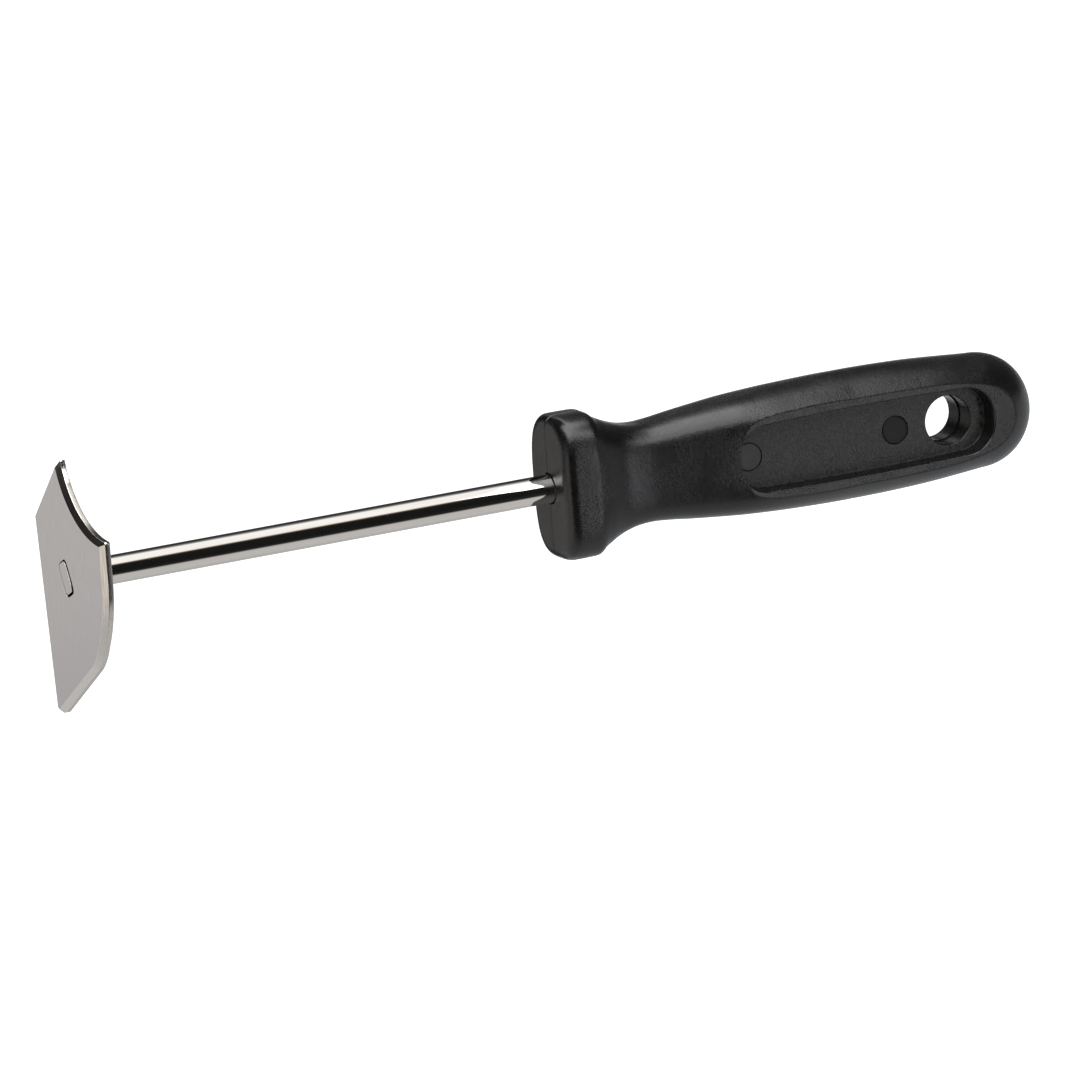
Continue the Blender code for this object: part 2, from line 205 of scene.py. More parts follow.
def ground_back(outline: Sequence[Point2], bevels: Sequence[float]) -> list[Point2]:
    """An outline drawn in by a bevel along each edge, with as many points.

    An edge that shrinks to nothing is left out, so that its two points meet in one corner.

    Args:
        outline: The outline's points, anticlockwise or clockwise.
        bevels: How far the edge after each point is drawn in.

    Returns:
        The inner outline's points. Some may lie on each other.
    """
    points = [Vector(point) for point in outline]
    count = len(points)
    inward = math.copysign(1.0, sum(points[i - 1].cross(points[i]) for i in range(count)))
    along = [(points[(i + 1) % count] - points[i]).normalized() for i in range(count)]
    through = [points[i] + along[i].orthogonal() * inward * bevels[i] for i in range(count)]
    kept = [True] * count
    while True:
        ring = []
        for i in range(count):
            first = next(k % count for k in range(i - 1, i - 1 - count, -1) if kept[k % count])
            second = next(k % count for k in range(i, i + count) if kept[k % count])
            turn = along[first].cross(along[second])
            step = (through[second] - through[first]).cross(along[second]) / turn if turn else 0.0
            ring.append(through[first] + along[first] * step if turn else through[second])
        lost = [i for i in range(count) if kept[i] and (ring[(i + 1) % count] - ring[i]).dot(along[i]) <= 0]
        if not lost:
            return [tuple(point) for point in ring]
        for i in lost:
            kept[i] = False


# Mesh tools


def skin_over(rings: Sequence[Ring], tip: Optional[Vector] = None) -> Mesh:
    """A closed skin over rings, in which each ring is extruded from the one before.

    Args:
        rings: Rings of equally many points.
        tip: The point that the last ring is drawn to. Without one it gets a flat face.

    Returns:
        The closed skin, facing outwards.
    """
    build = bmesh.new()
    turn = build.verts.layers.int.new("turn")
    verts = bmesh.ops.create_circle(build, cap_ends=False, segments=len(rings[0]), radius=1.0)["verts"]
    for number, vert in enumerate(verts):
        vert[turn] = number
    edges = list(build.edges)
    for row, ring in enumerate(rings):
        if row:
            grown = bmesh.ops.extrude_edge_only(build, edges=edges)["geom"]
            verts = [item for item in grown if isinstance(item, bmesh.types.BMVert)]
            fresh = set(verts)
            edges = [item for item in grown if isinstance(item, bmesh.types.BMEdge)]
            edges = [edge for edge in edges if fresh.issuperset(edge.verts)]
        for vert in verts:
            vert.co = ring[vert[turn]]
    if tip is not None:
        bmesh.ops.pointmerge(build, verts=verts, merge_co=tip)
    close_rims(build)
    bmesh.ops.recalc_face_normals(build, faces=build.faces)
    return build


def close_rims(build: Mesh) -> None:
    """Closes every open rim with one flat face."""
    bmesh.ops.edgeloop_fill(build, edges=[edge for edge in build.edges if edge.is_boundary])


def turned_body(x: float, profile: Sequence[Point2], sides: int) -> Mesh:
    """A closed turned body on an axis along Y.

    Args:
        x: Where its axis crosses the X axis.
        profile: Rows of (Y, radius).
        sides: How many sides each ring has.

    Returns:
        The body.
    """
    turns = whole_turn(sides)
    return skin_over([[Vector((x + r * math.cos(a), y, r * math.sin(a))) for a in turns] for y, r in profile])


def new_object(name: str, build: Mesh) -> Piece:
    """An object in the scene whose mesh comes from a finished bmesh."""
    mesh = bpy.data.meshes.new(name)
    build.to_mesh(mesh)
    build.free()
    made = bpy.data.objects.new(name, mesh)
    bpy.context.scene.collection.objects.link(made)
    return made


def carve(body: Piece, tools: Sequence[Piece]) -> None:
    """Cuts tools out of a body for good, and removes them.

    Args:
        body: The object that is cut. Its mesh is replaced.
        tools: Closed objects.
    """
    for tool in tools:
        step = body.modifiers.new(tool.name, "BOOLEAN")
        step.operation, step.solver, step.object = "DIFFERENCE", "EXACT", tool
    bpy.context.view_layer.update()
    graph = bpy.context.evaluated_depsgraph_get()
    carved = bpy.data.meshes.new_from_object(body.evaluated_get(graph))
    body.modifiers.clear()
    whole, body.data = body.data, carved
    for spent in (whole, *(tool.data for tool in tools)):
        bpy.data.meshes.remove(spent)


def bevel(build: Mesh, edges: list[bmesh.types.BMEdge], width: float, segments: int) -> None:
    """Rounds edges by a width."""
    bmesh.ops.bevel(
        build, geom=edges, offset=width, offset_type="OFFSET", segments=segments, profile=0.5,
        affect="EDGES", clamp_overlap=False, material=-1,
    )


def finish_piece(
    piece: Piece,
    materials: Sequence[Material],
    nodes: Sequence[str],
    sharp_angle: float = math.radians(35),
) -> Piece:
    """Shades a piece, dresses it and ties it to the frame.

    Args:
        piece: The finished shape.
        materials: Its materials, in the order of its faces' material numbers.
        nodes: The frame's nodes that it stands for.
        sharp_angle: Edges sharper than this stay crisp.

    Returns:
        The piece.
    """
    mesh = piece.data
    numbers = [polygon.material_index for polygon in mesh.polygons]
    mesh.materials.clear()
    for material in materials:
        mesh.materials.append(material)
    mesh.polygons.foreach_set("material_index", numbers)
    mesh.shade_smooth()
    mesh.set_sharp_from_angle(angle=sharp_angle)
    weighted = piece.modifiers.new("weighted normals", "WEIGHTED_NORMAL")
    weighted.keep_sharp = True
    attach(piece, BODY)
    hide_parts(*nodes)
    log.info("%s: %d faces", piece.name, len(mesh.polygons))
    return piece


# Shader tools


class Graph:
    """A node tree, and the short calls that fill it."""

    def __init__(self, tree: bpy.types.NodeTree) -> None:
        """Takes the tree that is filled."""
        self.tree = tree

    def add(self, kind: str, inputs: Optional[dict] = None, **settings: Any) -> Node:
        """Adds a node.

        Args:
            kind: The node's type.
            inputs: Values or sockets for its inputs, by name or number.
            settings: Properties of the node.

        Returns:
            The node.
        """
        node = self.tree.nodes.new(kind)
        for name, value in settings.items():
            setattr(node, name, value)
        for key, value in (inputs or {}).items():
            if isinstance(value, Socket):
                self.tree.links.new(value, node.inputs[key])
            else:
                node.inputs[key].default_value = value
        return node

    def math(self, operation: str, first: Input, second: Input) -> Socket:
        """A sum of two numbers."""
        return self.add("ShaderNodeMath", {0: first, 1: second}, operation=operation).outputs[0]

    def weighed(self, first: Input, second: Input, share: float) -> Socket:
        """The mean of two values, weighed by the first one's share."""
        first, second = self.math("MULTIPLY", first, share), self.math("MULTIPLY", second, 1 - share)
        return self.math("ADD", first, second)

    def ranged(self, value: Input, low: float, high: float, to_low: float = 0, to_high: float = 1) -> Socket:
        """A value taken smoothly from one range to another, and held there."""
        inputs = {"Value": value, "From Min": low, "From Max": high, "To Min": to_low, "To Max": to_high}
        return self.add("ShaderNodeMapRange", inputs, interpolation_type="SMOOTHSTEP").outputs["Result"]

    def mix(self, share: Input, first: Input, second: Input) -> Socket:
        """A colour between two, which are sockets or plain colours."""
        ends = [end if isinstance(end, Socket) else (*end, 1.0) for end in (first, second)]
        return self.add("ShaderNodeMix", {0: share, 6: ends[0], 7: ends[1]}, data_type="RGBA").outputs[2]

    def object_place(self, stretch: Point3 = EVEN) -> Socket:
        """The piece's own coordinates, scaled along each axis."""
        place = self.add("ShaderNodeTexCoord").outputs["Object"]
        return self.add("ShaderNodeMapping", {"Vector": place, "Scale": stretch}).outputs["Vector"]

    def noise(self, place: Input, size: Input, detail: float, rough: float = 0.5) -> Socket:
        """Cloudy noise whose blots are about one size across."""
        scale = self.math("DIVIDE", 1.0, size)
        inputs = {"Vector": place, "Scale": scale, "Detail": detail, "Roughness": rough}
        return self.add("ShaderNodeTexNoise", inputs).outputs["Fac"]

    def surface(self, shader: Node, colour: Socket, rough: Socket, height: Socket, depth: float) -> None:
        """Ties the changing values of a surface to its shader.

        Args:
            shader: The shader.
            colour: Its colour.
            rough: Its roughness.
            height: Its relief.
            depth: How deep the relief is.
        """
        bump = self.add("ShaderNodeBump", {"Height": height, "Distance": depth}).outputs["Normal"]
        for name, socket in (("Base Color", colour), ("Roughness", rough), ("Normal", bump)):
            self.tree.links.new(socket, shader.inputs[name])


class SurfaceGroup:
    """A shader node group that is built once and placed in each material with its own values."""

    def __init__(self, name: str, inputs: dict[str, float], outputs: Sequence[str]) -> None:
        """Makes the group's sockets.

        Args:
            name: The group's name.
            inputs: Each input's name and default value. Place is added as the coordinates' vector.
            outputs: The names of the values that it gives.
        """
        self.tree = bpy.data.node_groups.new(name, "ShaderNodeTree")
        sockets = self.tree.interface
        sockets.new_socket("Place", in_out="INPUT", socket_type="NodeSocketVector")
        for word, value in inputs.items():
            socket = sockets.new_socket(word, in_out="INPUT", socket_type="NodeSocketFloat")
            socket.default_value = value
        for word in outputs:
            sockets.new_socket(word, in_out="OUTPUT", socket_type="NodeSocketFloat")
        self.graph = Graph(self.tree)
        self.given = self.graph.add("NodeGroupInput").outputs
        self.taken = self.graph.add("NodeGroupOutput").inputs

    def give(self, name: str, value: Socket) -> None:
        """Ties a value to one of the group's outputs."""
        self.tree.links.new(value, self.taken[name])

    def placed(self, graph: Graph, place: Input, **values: Input) -> dict[str, Socket]:
        """Places the group in a material.

        Args:
            graph: The material's nodes.
            place: The coordinates that the pattern is read at.
            values: The group's other inputs.

        Returns:
            The group's outputs by name.
        """
        node = graph.add("ShaderNodeGroup", node_tree=self.tree)
        graph.tree.links.new(place, node.inputs["Place"])
        for name, value in values.items():
            node.inputs[name].default_value = value
        return {socket.name: socket for socket in node.outputs}


def mould_grain_group() -> SurfaceGroup:
    """The fine pebble that a spark-eroded mould leaves, and the cloudy tone over it."""
    group = SurfaceGroup("mould_grain", {"Grain": 0.0003, "Cloud": 0.006}, ("Height", "Tone"))
    graph, place, size = group.graph, group.given["Place"], group.given["Grain"]
    fine = graph.noise(place, size, 3.0, 0.6)
    coarse = graph.noise(place, graph.math("MULTIPLY", size, 3.2), 2.0)
    cloud = graph.noise(place, group.given["Cloud"], 2.0, 0.4)
    group.give("Height", graph.weighed(fine, coarse, 0.65))
    group.give("Tone", graph.ranged(graph.weighed(cloud, fine, 0.45), *MIDDLE_TONES))
    return group


def specks_group() -> SurfaceGroup:
    """Sparse specks of dust and tiny nicks."""
    group = SurfaceGroup("specks", {"Spacing": 0.0012, "Size": 0.12}, ("Mask",))
    graph = group.graph
    scale = graph.math("DIVIDE", 1.0, group.given["Spacing"])
    cells = graph.add("ShaderNodeTexVoronoi", {"Vector": group.given["Place"], "Scale": scale}, feature="F1")
    near = graph.math("LESS_THAN", cells.outputs["Distance"], group.given["Size"])
    chance = graph.add("ShaderNodeSeparateColor", {"Color": cells.outputs["Color"]}).outputs["Red"]
    group.give("Mask", graph.math("MULTIPLY", near, graph.math("GREATER_THAN", chance, 0.6)))
    return group


def drawn_lines_group() -> SurfaceGroup:
    """Fine lines along one axis, as grinding or drawing leaves them. Place is stretched first."""
    group = SurfaceGroup("drawn_lines", {"Spacing": 0.0002, "Wander": 0.004}, ("Height", "Tone"))
    graph, place = group.graph, group.given["Place"]
    lines = graph.noise(place, group.given["Spacing"], 3.0, 0.65)
    sway = graph.noise(place, group.given["Wander"], 1.0)
    group.give("Height", graph.weighed(lines, sway, 0.8))
    group.give("Tone", graph.ranged(lines, *MIDDLE_TONES))
    return group


@dataclass(frozen=True)
class Groups:
    """The shared surface effects."""

    grain: SurfaceGroup = field(default_factory=mould_grain_group)
    specks: SurfaceGroup = field(default_factory=specks_group)
    lines: SurfaceGroup = field(default_factory=drawn_lines_group)


def new_material(name: str) -> tuple[Material, Graph, Node]:
    """A fresh material, its nodes and its Principled shader."""
    material = bpy.data.materials.new(name)
    material.use_nodes = True
    return material, Graph(material.node_tree), material.node_tree.nodes["Principled BSDF"]


# Finishes


@dataclass(frozen=True)
class MouldedPlastic:
    """Black moulded plastic with a fine pebble, cloudy sheen and some dust."""

    name: str
    dark: Colour
    light: Colour
    smooth: float
    rough: float
    specular: float = 0.7
    grain: float = 0.00032
    cloud: float = 0.006
    grain_depth: float = 0.000010
    speck_spacing: float = 0.0016
    speck_size: float = 0.05
    speck_share: float = 0.5
    speck_colour: Colour = (0.060, 0.060, 0.058)

    def material(self, groups: Groups) -> Material:
        """Builds the finish.

        Args:
            groups: The shared surface effects.

        Returns:
            The material.
        """
        material, graph, shader = new_material(self.name)
        place = graph.object_place()
        grain = groups.grain.placed(graph, place, Grain=self.grain, Cloud=self.cloud)
        specks = groups.specks.placed(graph, place, Spacing=self.speck_spacing, Size=self.speck_size)
        dusty = graph.math("MULTIPLY", specks["Mask"], self.speck_share)
        colour = graph.mix(dusty, graph.mix(grain["Tone"], self.dark, self.light), self.speck_colour)
        rough = graph.ranged(grain["Tone"], 0.0, 1.0, self.smooth, self.rough)
        graph.surface(shader, colour, rough, grain["Height"], self.grain_depth)
        shader.inputs["Specular IOR Level"].default_value = self.specular
        return material


@dataclass(frozen=True)
class PlatedSteel:
    """Bright plating over steel, with fine lines left from before it was plated."""

    name: str
    colour: Colour
    worn_colour: Colour
    smooth: float
    rough: float
    stretch: Point3
    line_spacing: float = 0.00025
    line_wander: float = 0.004
    line_depth: float = 0.0000006
    speck_spacing: float = 0.0030
    speck_size: float = 0.03
    worn_share: float = 0.5

    def material(self, groups: Groups) -> Material:
        """Builds the finish.

        Args:
            groups: The shared surface effects.

        Returns:
            The material.
        """
        material, graph, shader = new_material(self.name)
        along = graph.object_place(self.stretch)
        lines = groups.lines.placed(graph, along, Spacing=self.line_spacing, Wander=self.line_wander)
        place = graph.object_place()
        specks = groups.specks.placed(graph, place, Spacing=self.speck_spacing, Size=self.speck_size)
        worn = graph.math("MULTIPLY", lines["Tone"], self.worn_share)
        colour = graph.mix(specks["Mask"], graph.mix(worn, self.colour, self.worn_colour), self.worn_colour)
        rough = graph.ranged(lines["Tone"], 0.0, 1.0, self.smooth, self.rough)
        graph.surface(shader, colour, rough, lines["Height"], self.line_depth)
        shader.inputs["Metallic"].default_value = 1.0
        return material


BLADE_FACE = PlatedSteel(
    "blade_face_steel", (0.625, 0.603, 0.594), (0.570, 0.548, 0.550), 0.16, 0.24, (1.0, 1.0, 0.05)
)
BLADE_GROUND = PlatedSteel(
    "blade_ground_steel", (0.86, 0.83, 0.79), (0.56, 0.51, 0.46), 0.07, 0.20, (1.0, 1.0, 0.04),
    line_spacing=0.00022, line_depth=0.000004,
)
# Near-black steel for the slot's walls and the tenon inside it: painted shade in the gap round the rivet.
SLOT_SHADE_STEEL = PlatedSteel("slot_painted_shade_steel", (0.035, 0.032, 0.028), (0.020, 0.018, 0.016), 0.45, 0.60, EVEN)
ROD_PLATING = PlatedSteel(
    "rod_plating", (0.95, 0.935, 0.91), (0.88, 0.85, 0.80), 0.018, 0.040, (0.02, 1.0, 1.0),
    line_spacing=0.0006, line_depth=0.0000015,
)
GRIP_OUTSIDE = MouldedPlastic(
    "grip_plastic", (0.0055, 0.0055, 0.0057), (0.0095, 0.0095, 0.0097), 0.19, 0.29,
    grain=0.00042, grain_depth=0.00007,
)
FLANGE_FRONT = replace(GRIP_OUTSIDE, name="flange_front_plastic", smooth=0.34, rough=0.44)
POCKET_FLOOR = MouldedPlastic(
    "pocket_floor_plastic", (0.0100, 0.0094, 0.0084), (0.0660, 0.0620, 0.0560), 0.24, 0.54,
    grain=0.00060, cloud=0.0009, grain_depth=0.00020,
)
FRONT_PLUG = MouldedPlastic(
    "plug_plastic", (0.014, 0.014, 0.014), (0.024, 0.024, 0.023), 0.36, 0.50, 0.95, cloud=0.0016
)
# The rear plug is a darker, less glossy copy of the front plug's plastic; its darker colour is painted shade.
SHADED_REAR_PLUG = replace(
    FRONT_PLUG, name="shaded_dull_plug_plastic",
    dark=(0.010, 0.010, 0.010), light=(0.016, 0.016, 0.015), specular=0.4,
)


# Blade


@dataclass
class Blade:
    """The ground and plated plate that is riveted on the rod's front end.

    The points of its outline are shares of its width (across) and of its height (up), from the rod's axis.
    """

    width: float = 0.0365
    height: float = 0.0638
    thickness: float = 0.0025
    bevel: float = 0.0012
    far_bevel: float = 0.0006
    corner_radius: float = 0.0007
    foot_radius: float = 0.0016
    edge_round: float = 0.00009
    far_corner: Point2 = (0.405, 0.205)
    top_tip: Point2 = (0.006, 0.446)
    hollow_middle: Point2 = (-0.238, 0.252)
    near_corner: Point2 = (-0.582, 0.186)
    bulge_start: Point2 = (-0.580, 0.080)
    bulge_middle: Point2 = (-0.551, -0.098)
    bulge_end: Point2 = (-0.452, -0.230)
    turn_middle: Point2 = (-0.397, -0.282)
    turn_end: Point2 = (-0.322, -0.326)
    foot: Point2 = (0.295, -0.562)
    hollow_steps: int = 60
    bulge_steps: int = 34
    turn_steps: int = 18
    corner_steps: int = 8
    crisp_angle: float = math.radians(30)
    face_facing: float = 0.98

    def _at(self, shares: Point2) -> Point2:
        """A point of the outline, as (Y, Z)."""
        return (shares[0] * self.width, shares[1] * self.height)

    def outline(self) -> tuple[list[Point2], list[float]]:
        """The plate's back edge, from the far corner over the top tip and down the near side.

        Returns:
            Its points, and the bevel of the edge after each.
        """
        far, tip, near, foot = map(self._at, (self.far_corner, self.top_tip, self.near_corner, self.foot))
        bulge_end, turn_end = self._at(self.bulge_end), self._at(self.turn_end)
        hollow = arc_through(tip, self._at(self.hollow_middle), near, self.hollow_steps)
        start, middle = self._at(self.bulge_start), self._at(self.bulge_middle)
        bulge = arc_through(start, middle, bulge_end, self.bulge_steps)
        turn = arc_through(bulge_end, self._at(self.turn_middle), turn_end, self.turn_steps)
        far_side = rounded_corner(foot, far, tip, self.corner_radius, self.corner_steps)
        near_corner = rounded_corner(hollow[-1], near, bulge[0], self.corner_radius, self.corner_steps)
        near_side = hollow[:-1] + near_corner + bulge + turn + [turn_end]
        foot_round = rounded_corner(turn_end, foot, far, self.foot_radius, self.corner_steps * 2)
        narrowing = evenly(self.bevel, self.far_bevel, len(foot_round) - 1)
        bevels = [self.far_bevel] * len(far_side) + [self.bevel] * len(near_side) + narrowing
        return far_side + near_side + foot_round, bevels

    def plate(self) -> Mesh:
        """The plate, ground back all round its front face, with its edges just broken."""
        outline, bevels = self.outline()
        levels = ((self.thickness, outline), (self.bevel, outline), (0.0, ground_back(outline, bevels)))
        build = skin_over([[Vector((x, y, z)) for y, z in ring] for x, ring in levels])
        bmesh.ops.remove_doubles(build, verts=build.verts, dist=self.edge_round / 10)
        crisp = [edge for edge in build.edges if edge.calc_face_angle(0.0) > self.crisp_angle]
        bevel(build, crisp, self.edge_round, 2)
        return build

    def make(self, rod: "Rod", finishes: Sequence[Material]) -> Piece:
        """Builds and dresses the blade.

        Args:
            rod: The rod, whose tenon the slot follows.
            finishes: Those of its face, of its ground edges and of the slot, whose near-black steel is
                painted shade.

        Returns:
            The blade.
        """
        piece = new_object("scraper_blade", self.plate())
        carve(piece, [new_object("tenon_slot", rod.tenon_slot(self.thickness))])
        for polygon in piece.data.polygons:
            place = polygon.center
            in_slot = math.hypot(place.y, place.z) < rod.tenon_height and place.x > rod.rivet_round
            # Faces inside the slot get the near-black steel: painted shade round the tenon.
            polygon.material_index = 0 if abs(polygon.normal.x) > self.face_facing else 2 if in_slot else 1
        return finish_piece(piece, finishes, ["blade"])


# Rod


@dataclass
class Rod:
    """The plated rod, with its riveted tenon at the front and its flattened tang inside the handle."""

    eye_place: float
    diameter: float = 0.0070
    reach: float = 0.1287
    shoulder: float = 0.0028
    shoulder_round: float = 0.0004
    shoulder_steps: int = 5
    tenon_width: float = 0.0024
    tenon_height: float = 0.0064
    tenon_squareness: float = 5.0
    tenon_turn: float = math.radians(-26)
    tenon_gap: float = 0.00046
    slot_shift: float = 0.00045
    rivet_spread: float = 0.0007
    rivet_depth: float = 0.0011
    rivet_round: float = 0.00006
    tang_thickness: float = 0.0032
    tang_width: float = 0.0124
    tang_squareness: float = 3.5
    tang_swage: float = 0.0060
    swage_steps: int = 8
    tang_end_degrees: tuple[int, int] = (85, 5)
    eye_radius: float = 0.0036
    eye_sides: int = 64
    sides: int = 128
    span_rings: int = 24

    def _section(self, x: float, half_width: float, half_height: float, squareness: float) -> Ring:
        """A round-cornered section across the rod."""
        size = (half_width, half_height, squareness)
        return [Vector((x, *superellipse(turn, *size))) for turn in whole_turn(self.sides)]

    def _disc(self, x: float, radius: float) -> Ring:
        """A round section across the rod."""
        return self._section(x, radius, radius, ROUND)

    def _tenon(self, x: float, grow: float) -> Ring:
        """The tenon's section, turned about the rod's axis."""
        half_width, half_height = self.tenon_width / 2 + grow, self.tenon_height / 2 + grow
        turn = Matrix.Rotation(self.tenon_turn, 3, "X")
        return [turn @ point for point in self._section(x, half_width, half_height, self.tenon_squareness)]

    def tenon_slot(self, plate: float) -> Mesh:
        """The slot through the plate that the tenon is spread into.

        Args:
            plate: The plate's thickness.

        Returns:
            The closed cutter.
        """
        gap, rounded = self.tenon_gap, self.rivet_round
        spread, past = gap + self.rivet_spread, plate / 2
        levels = (
            (-past, spread + rounded), (0.0, spread + rounded / 2), (rounded, spread),
            (self.rivet_depth, gap), (plate + past, gap),
        )
        slot = skin_over([self._tenon(x, grow) for x, grow in levels])
        bmesh.ops.translate(slot, verts=slot.verts, vec=(0.0, -self.slot_shift, 0.0))
        return slot

    def _tang(self, grow: float) -> list[Ring]:
        """The round rod swaged flat, and its round eye."""
        radius, thin, wide = self.diameter / 2, self.tang_thickness / 2, self.tang_width / 2
        eye = self.reach + self.eye_place
        swage = evenly(eye - wide - self.tang_swage, eye - wide, self.swage_steps)
        rings = []
        for x, turn in zip(swage, evenly(0.0, math.pi, self.swage_steps)):
            flat = (1 - math.cos(turn)) / 2
            half_width, half_height = mixed(radius, thin, flat) + grow, mixed(radius, wide, flat) + grow
            rings.append(self._section(x, half_width, half_height, mixed(ROUND, self.tang_squareness, flat)))
        last, step = self.tang_end_degrees
        for angle in map(math.radians, range(0, last + 1, step)):
            x, half_height = eye + (wide + grow) * math.sin(angle), (wide + grow) * math.cos(angle)
            rings.append(self._section(x, thin + grow, half_height, self.tang_squareness))
        return rings

    def clearance(self, gap: float, entry: float) -> Mesh:
        """The rod's shape with a gap all round, flared where it enters the flange.

        Args:
            gap: How far the hole stands off the rod.
            entry: The flare's size.

        Returns:
            The closed cutter.
        """
        radius = self.diameter / 2 + gap
        flare = [self._disc(self.reach - entry, radius + 2 * entry), self._disc(self.reach + entry, radius)]
        return skin_over(flare + self._tang(gap))

    def body(self) -> Mesh:
        """The rod in one closed skin, from its riveted end to its eye."""
        spread, rounded = self.rivet_spread, self.rivet_round
        levels = (
            (0.0, spread - rounded), (rounded / 4, spread - rounded / 4), (rounded, spread),
            (self.rivet_depth, 0.0), (self.shoulder, 0.0),
        )
        rings = [self._tenon(x, grow) for x, grow in levels]
        radius = self.diameter / 2
        for angle in quarter_turn(self.shoulder_steps):
            back, shrink = set_back(self.shoulder_round, angle)
            rings.append(self._disc(self.shoulder + back, radius - shrink))
        span = evenly(self.shoulder + self.shoulder_round, self.reach, self.span_rings)
        return skin_over(rings + [self._disc(x, radius) for x in span[1:]] + self._tang(0.0))

    def make(self, finishes: Sequence[Material]) -> Piece:
        """Builds and dresses the rod.

        Args:
            finishes: Those of its plating, of its riveted end and of the tenon in the slot, whose near-black
                steel is painted shade.

        Returns:
            The rod.
        """
        piece = new_object("plated_rod", self.body())
        profile = [(y, self.eye_radius) for y in (-self.tang_width, self.tang_width)]
        eye = turned_body(self.reach + self.eye_place, profile, self.eye_sides)
        carve(piece, [new_object("tang_eye", eye)])
        for polygon in piece.data.polygons:
            riveted = polygon.center.x < self.rivet_round
            in_slot = polygon.center.x < self.shoulder - self.shoulder_round
            # The tenon inside the slot gets the near-black steel: painted shade.
            polygon.material_index = 1 if riveted else 2 if in_slot else 0
        return finish_piece(piece, finishes, ["rod"])


# Handle


